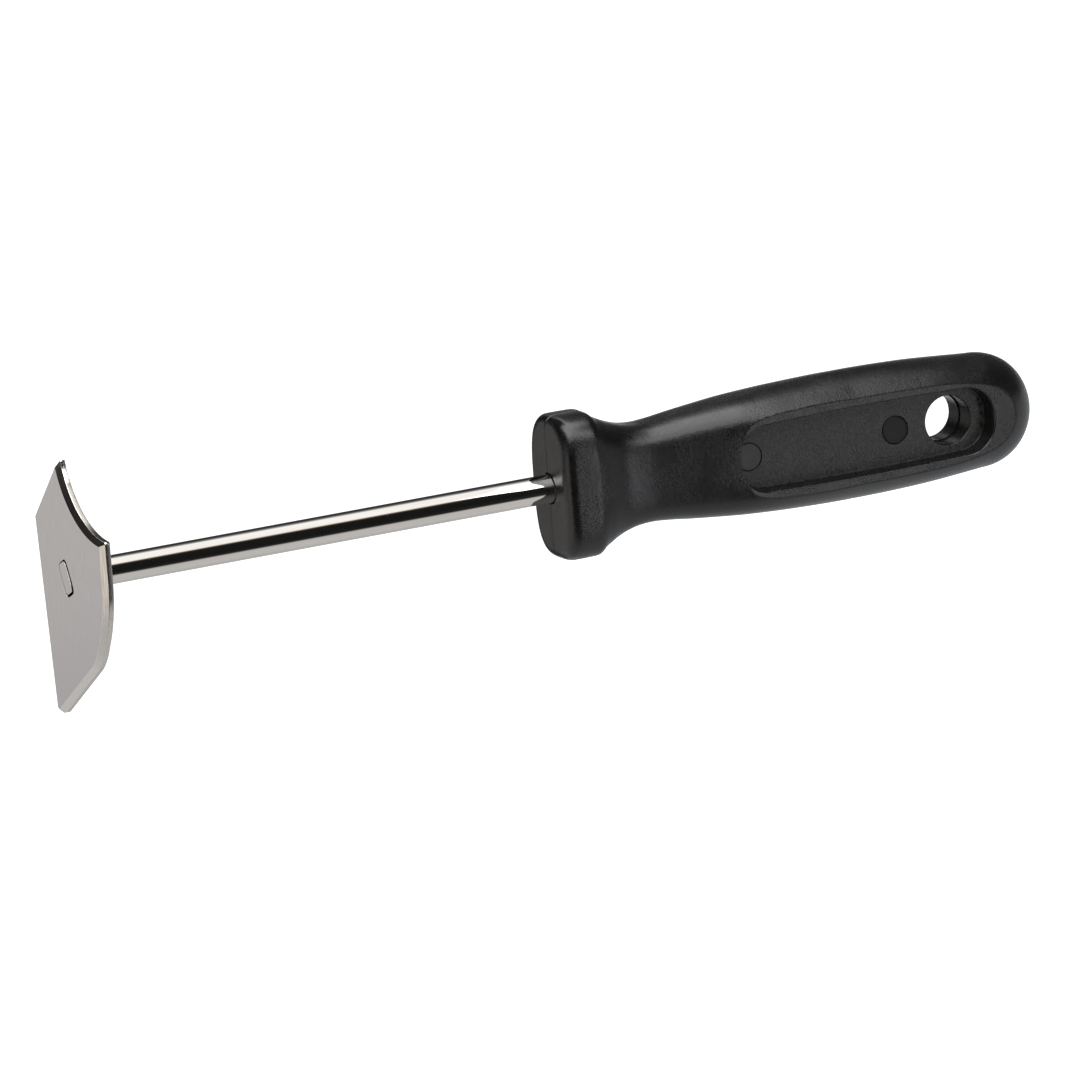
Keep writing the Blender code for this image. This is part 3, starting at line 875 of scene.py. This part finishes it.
@dataclass
class GripShape:
    """The handle's outside, as a section that changes along its length.

    Half height, half breadth and squareness are shares of the flange's half height, of the grip's half
    breadth, and plain numbers, each after the share of the length where it holds.
    """

    start: float = 0.1287
    length: float = 0.1279
    flange_height: float = 0.0353
    flange_edge_length: float = 0.0030
    flange_edge_side: float = 0.0031
    flange_edge_top: float = 0.0032
    flange_end_share: float = 0.067
    neck_end_share: float = 0.229
    grip_breadth: float = 0.0284
    grip_thickness: float = 0.0210
    side_shares: Table = (
        (0.067, 0.998), (0.077, 0.987), (0.088, 0.923), (0.1025, 0.867), (0.118, 0.810), (0.138, 0.751),
        (0.162, 0.701), (0.192, 0.678), (0.229, 0.693), (0.268, 0.726), (0.315, 0.760), (0.363, 0.792),
        (0.418, 0.824), (0.489, 0.859), (0.611, 0.885), (0.749, 0.864), (0.890, 0.791),
    )
    plan_shares: Table = (
        (0.067, 0.740), (0.095, 0.687), (0.126, 0.626), (0.150, 0.606), (0.178, 0.606), (0.199, 0.614),
        (0.252, 0.648), (0.315, 0.699), (0.340, 0.724), (0.360, 0.751), (0.402, 0.815), (0.443, 0.870),
        (0.485, 0.922), (0.527, 0.960), (0.611, 1.0),
    )
    square_shares: Table = (
        (0.0, 3.2), (0.032, 3.45), (0.067, 3.3), (0.095, 3.05), (0.126, 2.95), (0.192, 3.3), (0.252, 3.4),
        (0.360, 3.4), (0.418, 2.95), (0.489, 2.4), (0.611, 2.0),
    )
    flat_blend: float = 0.0007
    flat_over: float = 0.000003
    blend_start_share: float = 0.362
    blend_end_share: float = 0.412
    side_end_share: float = 0.890
    side_end_squareness: float = 2.1
    plan_end_share: float = 0.771
    plan_end_squareness: float = 2.3
    sides: int = 160
    edge_steps: int = 10
    flange_steps: int = 6
    turn_steps: int = 40
    ring_spacing: float = 0.0011
    end_steps: int = 30

    @staticmethod
    def _drawn_in(share: float, start_share: float, squareness: float) -> float:
        """What is left of a size towards the round end, as a share of it."""
        along = max(0.0, (share - start_share) / (1 - start_share))
        return max(0.0, 1 - along**squareness) ** (1 / squareness)

    def section(self, place: float) -> tuple[float, float, float]:
        """The outside a distance behind the flange's face.

        Args:
            place: The distance.

        Returns:
            Half height, half breadth and squareness.
        """
        share = min(place / self.length, 1.0)
        side_left = self._drawn_in(share, self.side_end_share, self.side_end_squareness)
        plan_left = self._drawn_in(share, self.plan_end_share, self.plan_end_squareness)
        half_height = self.flange_height / 2 * at_share(self.side_shares, share) * side_left
        half_breadth = self.grip_breadth / 2 * at_share(self.plan_shares, share) * plan_left
        to_face = max(0.0, 1 - place / self.flange_edge_length)
        rounding = 1 - math.sqrt(1 - to_face**2)
        half_height -= self.flange_edge_top * rounding
        half_breadth -= self.flange_edge_side * rounding
        return half_height, half_breadth, at_share(self.square_shares, share)

    def _ring(self, place: float) -> Ring:
        """The whole section a distance behind the flange's face, before its sides are cut flat."""
        half_height, half_breadth, squareness = self.section(place)
        turns = whole_turn(self.sides)
        ring = [superellipse(turn, half_breadth, half_height, squareness) for turn in turns]
        return [Vector((self.start + place, self._eased(y, place / self.length), z)) for y, z in ring]

    def _eased(self, y: float, share: float) -> float:
        """A point's Y, led gently onto the flat side where the flat begins.

        Args:
            y: The point's Y on the plain section.
            share: Where it is, as a share of the length.

        Returns:
            Its eased Y. Past the blend's end it is the same.
        """
        out, level = abs(y), self.grip_thickness / 2 + self.flat_over
        near = max(0.0, 1 - abs(out - level) / self.flat_blend)
        eased = min(out, level) - near**2 * self.flat_blend / 4
        past = (share - self.blend_start_share) / (self.blend_end_share - self.blend_start_share)
        past = min(1.0, max(0.0, past))
        return math.copysign(mixed(eased, out, past * past * (3 - 2 * past)), y)

    def _places(self) -> list[float]:
        """Distances behind the flange's face at which the outside is drawn, closer where it turns."""
        shares = (self.flange_end_share, self.neck_end_share, self.side_end_share)
        flange_end, neck_end, end = (share * self.length for share in shares)
        stretches = (
            [set_back(self.flange_edge_length, angle)[0] for angle in quarter_turn(self.edge_steps)],
            evenly(self.flange_edge_length, flange_end, self.flange_steps),
            evenly(flange_end, neck_end, self.turn_steps),
            evenly(neck_end, end, math.ceil((end - neck_end) / self.ring_spacing)),
            [mixed(end, self.length, math.sin(angle)) for angle in quarter_turn(self.end_steps)],
        )
        return [place for stretch in stretches for place in stretch[:-1]]

    def outside(self) -> Mesh:
        """The closed outside, before it is halved and its sides are cut flat."""
        tip = Vector((self.start + self.length, 0, 0))
        return skin_over([self._ring(place) for place in self._places()], tip)


@dataclass
class Pocket:
    """The recess in one side of the handle, with a rounded rim, a filleted floor and two pins in it."""

    start: float = 0.0465
    end: float = 0.1143
    height: float = 0.0171
    end_height: float = 0.0162
    corner_radius: float = 0.0071
    draft: float = math.radians(3)
    web_thickness: float = 0.0111
    rim_round: float = 0.00045
    rim_start: float = math.radians(20)
    floor_round: float = 0.00018
    round_steps: int = 6
    corner_steps: int = 18
    run_steps: int = 48
    pin_places: Point2 = (0.0508, 0.0901)
    pin_radius: float = 0.00335

    @property
    def floor(self) -> float:
        """How far the floor is from the handle's middle."""
        return self.web_thickness / 2

    def outline(self, inset: float) -> list[Point2]:
        """The pocket's outline, with slightly bowed long sides and round ends.

        Args:
            inset: How far the outline is drawn in.

        Returns:
            Points as (distance behind the flange's face, up).
        """
        radius, end_half = self.corner_radius - inset, self.end_height / 2 - inset
        start, end = self.start + inset + radius, self.end - inset - radius
        bow = (self.height - self.end_height) / 2
        shares = evenly(0.0, 1.0, self.run_steps)
        top = [(mixed(start, end, share), end_half + bow * (1 - (2 * share - 1) ** 2)) for share in shares]
        turns = [
            (radius * math.sin(angle), end_half - radius + radius * math.cos(angle))
            for angle in quarter_turn(self.corner_steps)[1:]
        ]
        left = [(start - along, up) for along, up in reversed(turns)]
        upper = left + top + [(end + along, up) for along, up in turns]
        return upper + [(x, -up) for x, up in reversed(upper)]

    def tool(self, grip: GripShape, side: Side) -> Mesh:
        """The cutter for one side.

        Args:
            grip: The handle's outside.
            side: The side.

        Returns:
            The closed cutter.
        """
        rim = grip.grip_thickness / 2
        upper = [set_back(self.rim_round, angle) for angle in quarter_turn(self.round_steps, self.rim_start)]
        lower = [set_back(self.floor_round, angle) for angle in quarter_turn(self.round_steps)]
        wall = (rim - self.rim_round - self.floor - self.floor_round) * math.tan(self.draft)
        levels = [(rim - down, -outset) for down, outset in upper]
        levels += [(self.floor + up, wall + inset) for inset, up in lower]
        out, inset = levels[0]
        levels.insert(0, (out + self.rim_round, inset - self.rim_round / math.tan(self.rim_start)))
        rings = []
        for out, inset in levels:
            outline = self.outline(inset)
            rings.append([Vector((grip.start + x, side.value * out, up)) for x, up in outline])
        return skin_over(rings)


@dataclass
class Hole:
    """A round hole through the web, with a small round at each mouth."""

    place: float
    radius: float
    mouth: float
    mouth_start: float = math.radians(25)
    mouth_steps: int = 4
    sides: int = 96

    def tool(self, grip: GripShape, side: Side, floor: float) -> Mesh:
        """The cutter for one side's half of the hole.

        Args:
            grip: The handle's outside.
            side: The side.
            floor: How far the pocket's floor is from the middle.

        Returns:
            The closed cutter.
        """
        profile = [(-floor, self.radius)]
        for angle in reversed(quarter_turn(self.mouth_steps)):
            down, wider = set_back(self.mouth, max(angle, self.mouth_start))
            profile.append((floor - down, self.radius + wider))
        out, radius = profile[-1]
        radius += self.mouth / math.tan(self.mouth_start)
        profile += [(out + self.mouth, radius), (grip.grip_thickness, radius)]
        return turned_body(grip.start + self.place, [(side.value * y, r) for y, r in profile], self.sides)


@dataclass
class HandleMoulding:
    """One of the handle's two mirrored mouldings."""

    side: Side
    grip: GripShape
    pocket: Pocket
    rod: Rod
    seam_gap: float = 0.00006
    seam_notch: float = 0.00022
    notch_length: float = 0.0100
    crease_round: float = 0.00030
    crease_angle: float = math.radians(4)
    sharp_angle: float = math.radians(32)
    floor_facing: float = 0.9
    front_facing: float = 0.97
    rod_gap: float = 0.00022
    rod_entry: float = 0.00020
    pin_gap: float = 0.00014
    bore_diameter: float = 0.0120
    bore_step: float = 0.0003
    bore_place: float = 0.1044
    bore_mouth: float = 0.0003

    def _half(self) -> Mesh:
        """The moulding's outside, from the seam to its flat side."""
        build = self.grip.outside()
        side, flat = self.side.value, self.grip.grip_thickness / 2
        for reach, away in ((self.seam_gap / 2, -side), (flat, side)):
            everything = [*build.verts, *build.edges, *build.faces]
            bmesh.ops.bisect_plane(
                build, geom=everything, plane_co=(0, side * reach, 0), plane_no=(0, away, 0), clear_outer=True
            )
            rim = {vert for edge in build.edges if edge.is_boundary for vert in edge.verts}
            bmesh.ops.remove_doubles(build, verts=list(rim), dist=self.seam_gap)
            close_rims(build)
        bmesh.ops.recalc_face_normals(build, faces=build.faces)
        return build

    def _break_edges(self, build: Mesh) -> None:
        """Rounds the crease round the flat side, and opens a notch along the seam of the flange."""
        flat, seam, near = self.grip.grip_thickness / 2, self.seam_gap / 2, self.seam_gap / 10
        notch_end = self.grip.start + self.notch_length
        crease, notch = [], []
        for edge in build.edges:
            if edge.calc_face_angle(0.0) <= self.crease_angle:
                continue
            ends = [vert.co for vert in edge.verts]
            if all(abs(abs(end.y) - flat) < near for end in ends):
                crease.append(edge)
            elif all(abs(abs(end.y) - seam) < near and end.x < notch_end for end in ends):
                notch.append(edge)
        bevel(build, crease, self.crease_round, 2)
        bevel(build, [edge for edge in notch if edge.is_valid], self.seam_notch, 1)

    def _tools(self) -> list[Piece]:
        """Everything that is cut out of the moulding."""
        bore = self.bore_diameter / 2 - (self.bore_step if self.side is Side.FAR else 0.0)
        pin_hole, pin_mouth = self.pocket.pin_radius + self.pin_gap, self.pin_gap / 2
        front, rear = self.pocket.pin_places
        holes = {
            "front_pin_hole": Hole(front, pin_hole, pin_mouth),
            "rear_pin_hole": Hole(rear, pin_hole, pin_mouth),
            "hanging_bore": Hole(self.bore_place, bore, self.bore_mouth),
        }
        builds = {
            "pocket_tool": self.pocket.tool(self.grip, self.side),
            "rod_tool": self.rod.clearance(self.rod_gap, self.rod_entry),
        }
        for name, hole in holes.items():
            builds[name] = hole.tool(self.grip, self.side, self.pocket.floor)
        return [new_object(name, build) for name, build in builds.items()]

    def make(self, finishes: Sequence[Material]) -> Piece:
        """Builds and dresses the moulding.

        Args:
            finishes: Those of the outside, the pocket's floor and the flange's front.

        Returns:
            The moulding.
        """
        word = self.side.name.lower()
        build = self._half()
        self._break_edges(build)
        piece = new_object(f"handle_moulding_{word}", build)
        carve(piece, self._tools())
        for polygon in piece.data.polygons:
            off_floor = abs(abs(polygon.center.y) - self.pocket.floor)
            on_floor = off_floor < self.pocket.floor_round / 4 and abs(polygon.normal.y) > self.floor_facing
            polygon.material_index = 1 if on_floor else 2 if polygon.normal.x < -self.front_facing else 0
        return finish_piece(piece, finishes, [f"handle_half_{word}"], self.sharp_angle)


@dataclass
class JoiningPin:
    """A plug through the web, flush with both pocket floors and very slightly domed."""

    word: str
    place: float
    chamfer: float = 0.00016
    chamfer_steps: int = 3
    dome: float = 0.00004
    dome_shares: tuple[float, ...] = (0.02, 0.35, 0.7, 1.0)
    sides: int = 96

    def make(self, grip: GripShape, pocket: Pocket, finish: Material) -> Piece:
        """Builds and dresses the pin.

        Args:
            grip: The handle's outside.
            pocket: The pocket, whose floors the pin's ends are flush with.
            finish: The pin's material.

        Returns:
            The pin.
        """
        inner, edge = pocket.pin_radius - self.chamfer, pocket.floor - self.dome
        end = [(pocket.floor - self.dome * share**2, inner * share) for share in self.dome_shares]
        for angle in quarter_turn(self.chamfer_steps)[1:]:
            down, shrink = set_back(self.chamfer, angle)
            end.append((edge - down, pocket.pin_radius - shrink))
        profile = [(-out, r) for out, r in end] + end[::-1]
        piece = new_object(f"{self.word}_plug", turned_body(grip.start + self.place, profile, self.sides))
        return finish_piece(piece, [finish], [f"{self.word}_joining_pin"])


# Studio and camera


@dataclass(frozen=True)
class Column:
    """What polished metal sees of the studio from one reach along the X axis on.

    The column takes over from the one before while the direction's X goes from low to high. Each of its
    stops has an angle in degrees, a level of light, and a warmth that raises the red and lowers the blue.
    """

    low: float
    high: float
    stops: tuple[Point3, ...]


@dataclass(frozen=True)
class Card:
    """A glowing card that only glossy surfaces see.

    It stands square to one axis (0 to 2) at a level on it. Its corners give the other two coordinates.
    """

    name: str
    axis: int
    level: float
    corners: tuple[Point2, ...]
    light: float
    colour: Colour = EVEN


STUDIO_CARDS = (
    Card(
        "front_card", 1, -0.45,
        (
            (0.366, 0.060), (0.346, 0.150), (0.384, 0.150), (0.396, 0.045),
            (0.426, 0.040), (0.438, -0.360), (0.390, -0.300), (0.372, -0.110),
        ),
        2.95, (1.0, 0.98, 1.03),
    ),
    Card(
        "top_card", 2, 0.5, ((-0.30, -0.86), (0.20, -0.86), (0.16, -0.50), (0.15, 0.03), (-0.30, 0.03)),
        3.2, (1.0, 0.99, 0.98),
    ),
    Card(
        "side_card", 1, 0.45, ((-0.18, 0.12), (-0.03, 0.12), (-0.03, -0.34), (-0.18, -0.34)),
        0.58, (1.05, 1.0, 0.91),
    ),
    Card(
        "corner_card", 1, -0.08, ((0.163, 0.050), (0.205, 0.050), (0.205, 0.110), (0.163, 0.110)),
        2.6, (1.0, 0.99, 0.98),
    ),
    Card(
        "flange_card", 2, 0.060, ((0.141, -0.050), (0.160, -0.050), (0.160, 0.0), (0.141, 0.0)),
        3.0, (1.0, 0.99, 0.98),
    ),
    Card("tip_card", 1, -0.10, ((0.040, 0.085), (0.060, 0.085), (0.070, 0.130), (0.045, 0.130)), 2.5),
    Card("end_card", 1, -0.45, ((0.428, 0.150), (0.560, 0.150), (0.560, -0.360), (0.440, -0.360)), 0.05),
    Card(
        "low_card", 1, 0.45, ((-0.34, -0.125), (-0.18, -0.125), (-0.18, -0.40), (-0.34, -0.40)),
        0.58, (1.0, 0.99, 1.02),
    ),
    Card("dark_card", 1, 0.45, ((-0.03, 0.25), (0.20, 0.25), (0.20, -0.45), (-0.03, -0.45)), 0.03),
)

STUDIO_COLUMNS = (
    Column(-1.0, -1.0, (
        (-180, 0.70, 0), (-120, 0.60, 0), (-79, 0.60, 0.02), (-45, 0.66, 0.06), (-15, 0.72, 0.10),
        (5, 0.60, 0.08), (30, 0.04, 0), (125, 0.012, 0), (160, 0.030, 0), (180, 0.70, 0),
    )),
    Column(-0.86, -0.70, (
        (-180, 0.69, 0), (-120, 0.60, 0), (-79, 0.50, 0), (-52, 0.40, 0), (-38, 0.10, 0),
        (-28, 0.008, 0), (60, 0.010, 0), (155, 0.030, 0), (170, 0.55, 0), (180, 0.69, 0),
    )),
    Column(0.02, 0.13, (
        (-180, 0.85, -0.08), (-120, 0.80, -0.06), (-79, 0.55, -0.02), (-52, 0.40, 0), (-38, 0.14, 0),
        (-28, 0.010, 0), (22, 0.012, 0), (32, 2.8, 0), (42, 3.6, 0), (100, 3.6, 0), (135, 1.6, 0),
        (155, 0.20, 0), (180, 0.55, 0),
    )),
    Column(0.17, 0.27, (
        (-180, 0.85, -0.08), (-130, 0.85, -0.08), (-93, 0.60, -0.02), (-52, 0.45, 0), (-38, 0.16, 0),
        (-28, 0.010, 0), (30, 0.012, 0), (40, 1.9, 0), (50, 3.6, 0), (96, 3.6, 0), (118, 0.9, 0),
        (135, 0.30, 0), (155, 0.15, 0), (180, 0.30, 0),
    )),
    Column(0.31, 0.38, (
        (-180, 0.62, -0.06), (-140, 0.50, -0.04), (-118, 0.42, 0.01), (-93, 0.50, 0.02),
        (-45, 0.50, 0.02), (-38, 0.44, 0.02), (-32, 0.12, 0.03), (-28, 0.020, 0.10), (-10, 0.008, 0),
        (37, 0.010, 0), (45, 0.05, 0.20), (49, 0.26, 0.16), (53, 0.84, 0.07), (62, 0.97, 0.02),
        (104, 0.97, 0.02), (112, 0.45, 0), (121, 0.17, 0), (132, 0.040, 0), (166, 0.030, 0),
        (180, 0.55, 0),
    )),
    Column(0.422, 0.452, (
        (-180, 0.62, -0.05), (-118, 0.50, -0.03), (-60, 0.50, 0), (-20, 0.36, 0), (15, 0.27, 0),
        (32, 0.04, 0), (60, 0.04, 0), (110, 0.06, 0), (165, 0.12, 0), (180, 0.55, 0),
    )),
)


@dataclass
class Studio:
    """Plain soft light, a white background and a pale floor.

    Metal sees a white band overhead, a dark room behind the camera and a pale table below. The columns'
    angles are about the X axis, from straight towards the near side (0) over straight up (90) to the far
    side (180), and the same way down.
    """

    cards: tuple[Card, ...] = STUDIO_CARDS
    columns: tuple[Column, ...] = STUDIO_COLUMNS
    peak: float = 4.0
    ambient_low: float = 0.25
    ambient_high: float = 0.60
    ambient_rise: Point2 = (-0.1, 0.9)
    lamp_power: float = 6.0
    lamp_size: float = 1.3
    lamp_height: float = 1.1
    lamp_lean: Point3 = (0.15, -0.1, 1.0)
    floor_drop: float = 0.30
    floor_size: float = 24.0
    floor_tone: float = 0.86
    floor_rough: float = 0.9
    floor_glow: float = 0.8

    def _banded(self, graph: Graph, turn: Socket, column: Column) -> Socket:
        """A column's colour at an angle about the X axis.

        Args:
            graph: The world's nodes.
            turn: The angle, as a share of a whole turn.
            column: The column.

        Returns:
            The colour, as a share of the peak.
        """
        ramp = graph.add("ShaderNodeValToRGB", {"Fac": turn})
        marks = ramp.color_ramp.elements
        while len(marks) < len(column.stops):
            marks.new(0.5)
        for mark, (degrees, level, warmth) in zip(marks, column.stops):
            mark.position = (degrees + 180) / 360
            tints = (level * (1 + warmth), level, level * (1 - warmth))
            mark.color = (*(tint / self.peak for tint in tints), 1.0)
        return ramp.outputs["Color"]

    def light(self) -> None:
        """Sets the world: white to the camera, soft light, and the bands that metal reflects."""
        world = bpy.data.worlds.new("studio")
        bpy.context.scene.world = world
        world.use_nodes = True
        world.cycles.sampling_method = "NONE"
        world.node_tree.nodes.clear()
        graph = Graph(world.node_tree)
        looking = graph.add("ShaderNodeTexCoord").outputs["Generated"]
        parts = graph.add("ShaderNodeSeparateXYZ", {"Vector": looking}).outputs
        angle = graph.math("ARCTAN2", parts["Z"], graph.math("MULTIPLY", parts["Y"], -1.0))
        turn = graph.math("ADD", graph.math("DIVIDE", angle, math.tau), 0.5)
        seen = self._banded(graph, turn, self.columns[0])
        for column in self.columns[1:]:
            taken = graph.ranged(parts["X"], column.low, column.high)
            seen = graph.mix(taken, seen, self._banded(graph, turn, column))
        seen = graph.add("ShaderNodeVectorMath", {0: seen, "Scale": self.peak}, operation="SCALE").outputs[0]
        rays = graph.add("ShaderNodeLightPath").outputs
        shiny = graph.math("MAXIMUM", rays["Is Glossy Ray"], rays["Is Transmission Ray"])
        soft = graph.ranged(parts["Z"], *self.ambient_rise, self.ambient_low, self.ambient_high)
        colour = graph.mix(rays["Is Camera Ray"], graph.mix(shiny, soft, seen), EVEN)
        background = graph.add("ShaderNodeBackground", {"Color": colour, "Strength": 1.0})
        output = graph.add("ShaderNodeOutputWorld")
        graph.tree.links.new(background.outputs[0], output.inputs["Surface"])

    def lamp(self, above: Vector) -> None:
        """Hangs a large soft lamp over the tool.

        Args:
            above: The point that it hangs over.
        """
        lamp = bpy.data.lights.new("overhead_softbox", "AREA")
        lamp.energy, lamp.shape = self.lamp_power, "RECTANGLE"
        lamp.size = lamp.size_y = self.lamp_size
        hung = bpy.data.objects.new("overhead_softbox", lamp)
        hung.location = above + Vector(self.lamp_lean) * self.lamp_height
        hung.rotation_euler = (above - hung.location).to_track_quat("-Z", "Y").to_euler()
        hung.visible_glossy = False
        bpy.context.scene.collection.objects.link(hung)

    def hang(self, card: Card) -> None:
        """Hangs a card.

        Args:
            card: Which one.
        """
        build = bmesh.new()
        places = [(*corner[: card.axis], card.level, *corner[card.axis :]) for corner in card.corners]
        build.faces.new([build.verts.new(place) for place in places])
        hung = new_object(card.name, build)
        material = bpy.data.materials.new(card.name)
        material.use_nodes = True
        material.node_tree.nodes.clear()
        graph = Graph(material.node_tree)
        glow = graph.add("ShaderNodeEmission", {"Color": (*card.colour, 1.0), "Strength": card.light})
        output = graph.add("ShaderNodeOutputMaterial")
        graph.tree.links.new(glow.outputs[0], output.inputs["Surface"])
        hung.data.materials.append(material)
        hung.visible_camera = hung.visible_diffuse = hung.visible_shadow = False

    def floor(self, under: Vector) -> None:
        """Lays the pale floor.

        Args:
            under: The point that it lies under.
        """
        build = bmesh.new()
        bmesh.ops.create_grid(build, x_segments=2, y_segments=2, size=self.floor_size / 2)
        bmesh.ops.translate(build, verts=build.verts, vec=(under.x, under.y, under.z - self.floor_drop))
        floor = new_object("pale_floor", build)
        material, graph, shader = new_material("pale_floor")
        shader.inputs["Base Color"].default_value = (*[self.floor_tone] * 3, 1.0)
        shader.inputs["Roughness"].default_value = self.floor_rough
        shader.inputs["Emission Color"].default_value = (*EVEN, 1.0)
        rays = graph.add("ShaderNodeLightPath").outputs
        glow = graph.math("MULTIPLY", rays["Is Camera Ray"], self.floor_glow)
        graph.tree.links.new(glow, shader.inputs["Emission Strength"])
        floor.data.materials.append(material)
        floor.visible_glossy = False

    def make(self) -> None:
        """Sets up the whole studio."""
        middle = (cad_box[0] + cad_box[1]) / 2
        middle.z = cad_box[0].z
        self.light()
        self.lamp(middle)
        for card in self.cards:
            self.hang(card)
        self.floor(middle)
        bpy.context.scene.view_settings.view_transform = "Standard"
        log.info("studio ready")


@dataclass
class PhotoCamera:
    """A far camera at the photograph's angle, whose frame is as wide as the photograph's."""

    turn: float = math.radians(-25.557)
    elevation: float = math.radians(12.384)
    roll: float = math.radians(-4.667)
    aim: Point3 = (0.10060, -0.04768, 0.00174)
    distance: float = 10.0
    frame_width: float = 0.25270
    farthest: float = 60.0

    def make(self) -> None:
        """Places the camera and looks through it."""
        data = bpy.data.cameras.new("photo_camera")
        data.lens = data.sensor_width * self.distance / self.frame_width
        data.clip_end = self.farthest
        camera = bpy.data.objects.new("photo_camera", data)
        upright = Matrix.Rotation(math.pi / 2 - self.elevation, 3, "X")
        turned = Matrix.Rotation(self.turn, 3, "Z") @ upright @ Matrix.Rotation(self.roll, 3, "Z")
        camera.location = Vector(self.aim) + turned.col[2] * self.distance
        camera.rotation_euler = turned.to_euler()
        bpy.context.scene.collection.objects.link(camera)
        bpy.context.scene.camera = camera


def main() -> None:
    """Builds every piece around the frame, then the studio and the camera."""
    logging.basicConfig(level=logging.INFO, format="%(name)s %(message)s")
    groups, grip, pocket = Groups(), GripShape(), Pocket()
    # The last steel is the near-black one for the rivet slot: painted shade.
    steels = (ROD_PLATING, BLADE_FACE, BLADE_GROUND, SLOT_SHADE_STEEL)
    plating, face, ground, slot_shade = (steel.material(groups) for steel in steels)
    rod = Rod(eye_place=pocket.pin_places[0])
    rod.make([plating, face, slot_shade])
    Blade().make(rod, [face, ground, slot_shade])
    outside = [plastic.material(groups) for plastic in (GRIP_OUTSIDE, POCKET_FLOOR, FLANGE_FRONT)]
    for side in Side:
        HandleMoulding(side, grip, pocket, rod).make(outside)
    # The rear pin gets the darker copy of the plug plastic: painted shade.
    for word, place, plug in zip(("front", "rear"), pocket.pin_places, (FRONT_PLUG, SHADED_REAR_PLUG)):
        JoiningPin(word, place).make(grip, pocket, plug.material(groups))
    Studio().make()
    PhotoCamera().make()


if __name__ == "__main__":
    main()
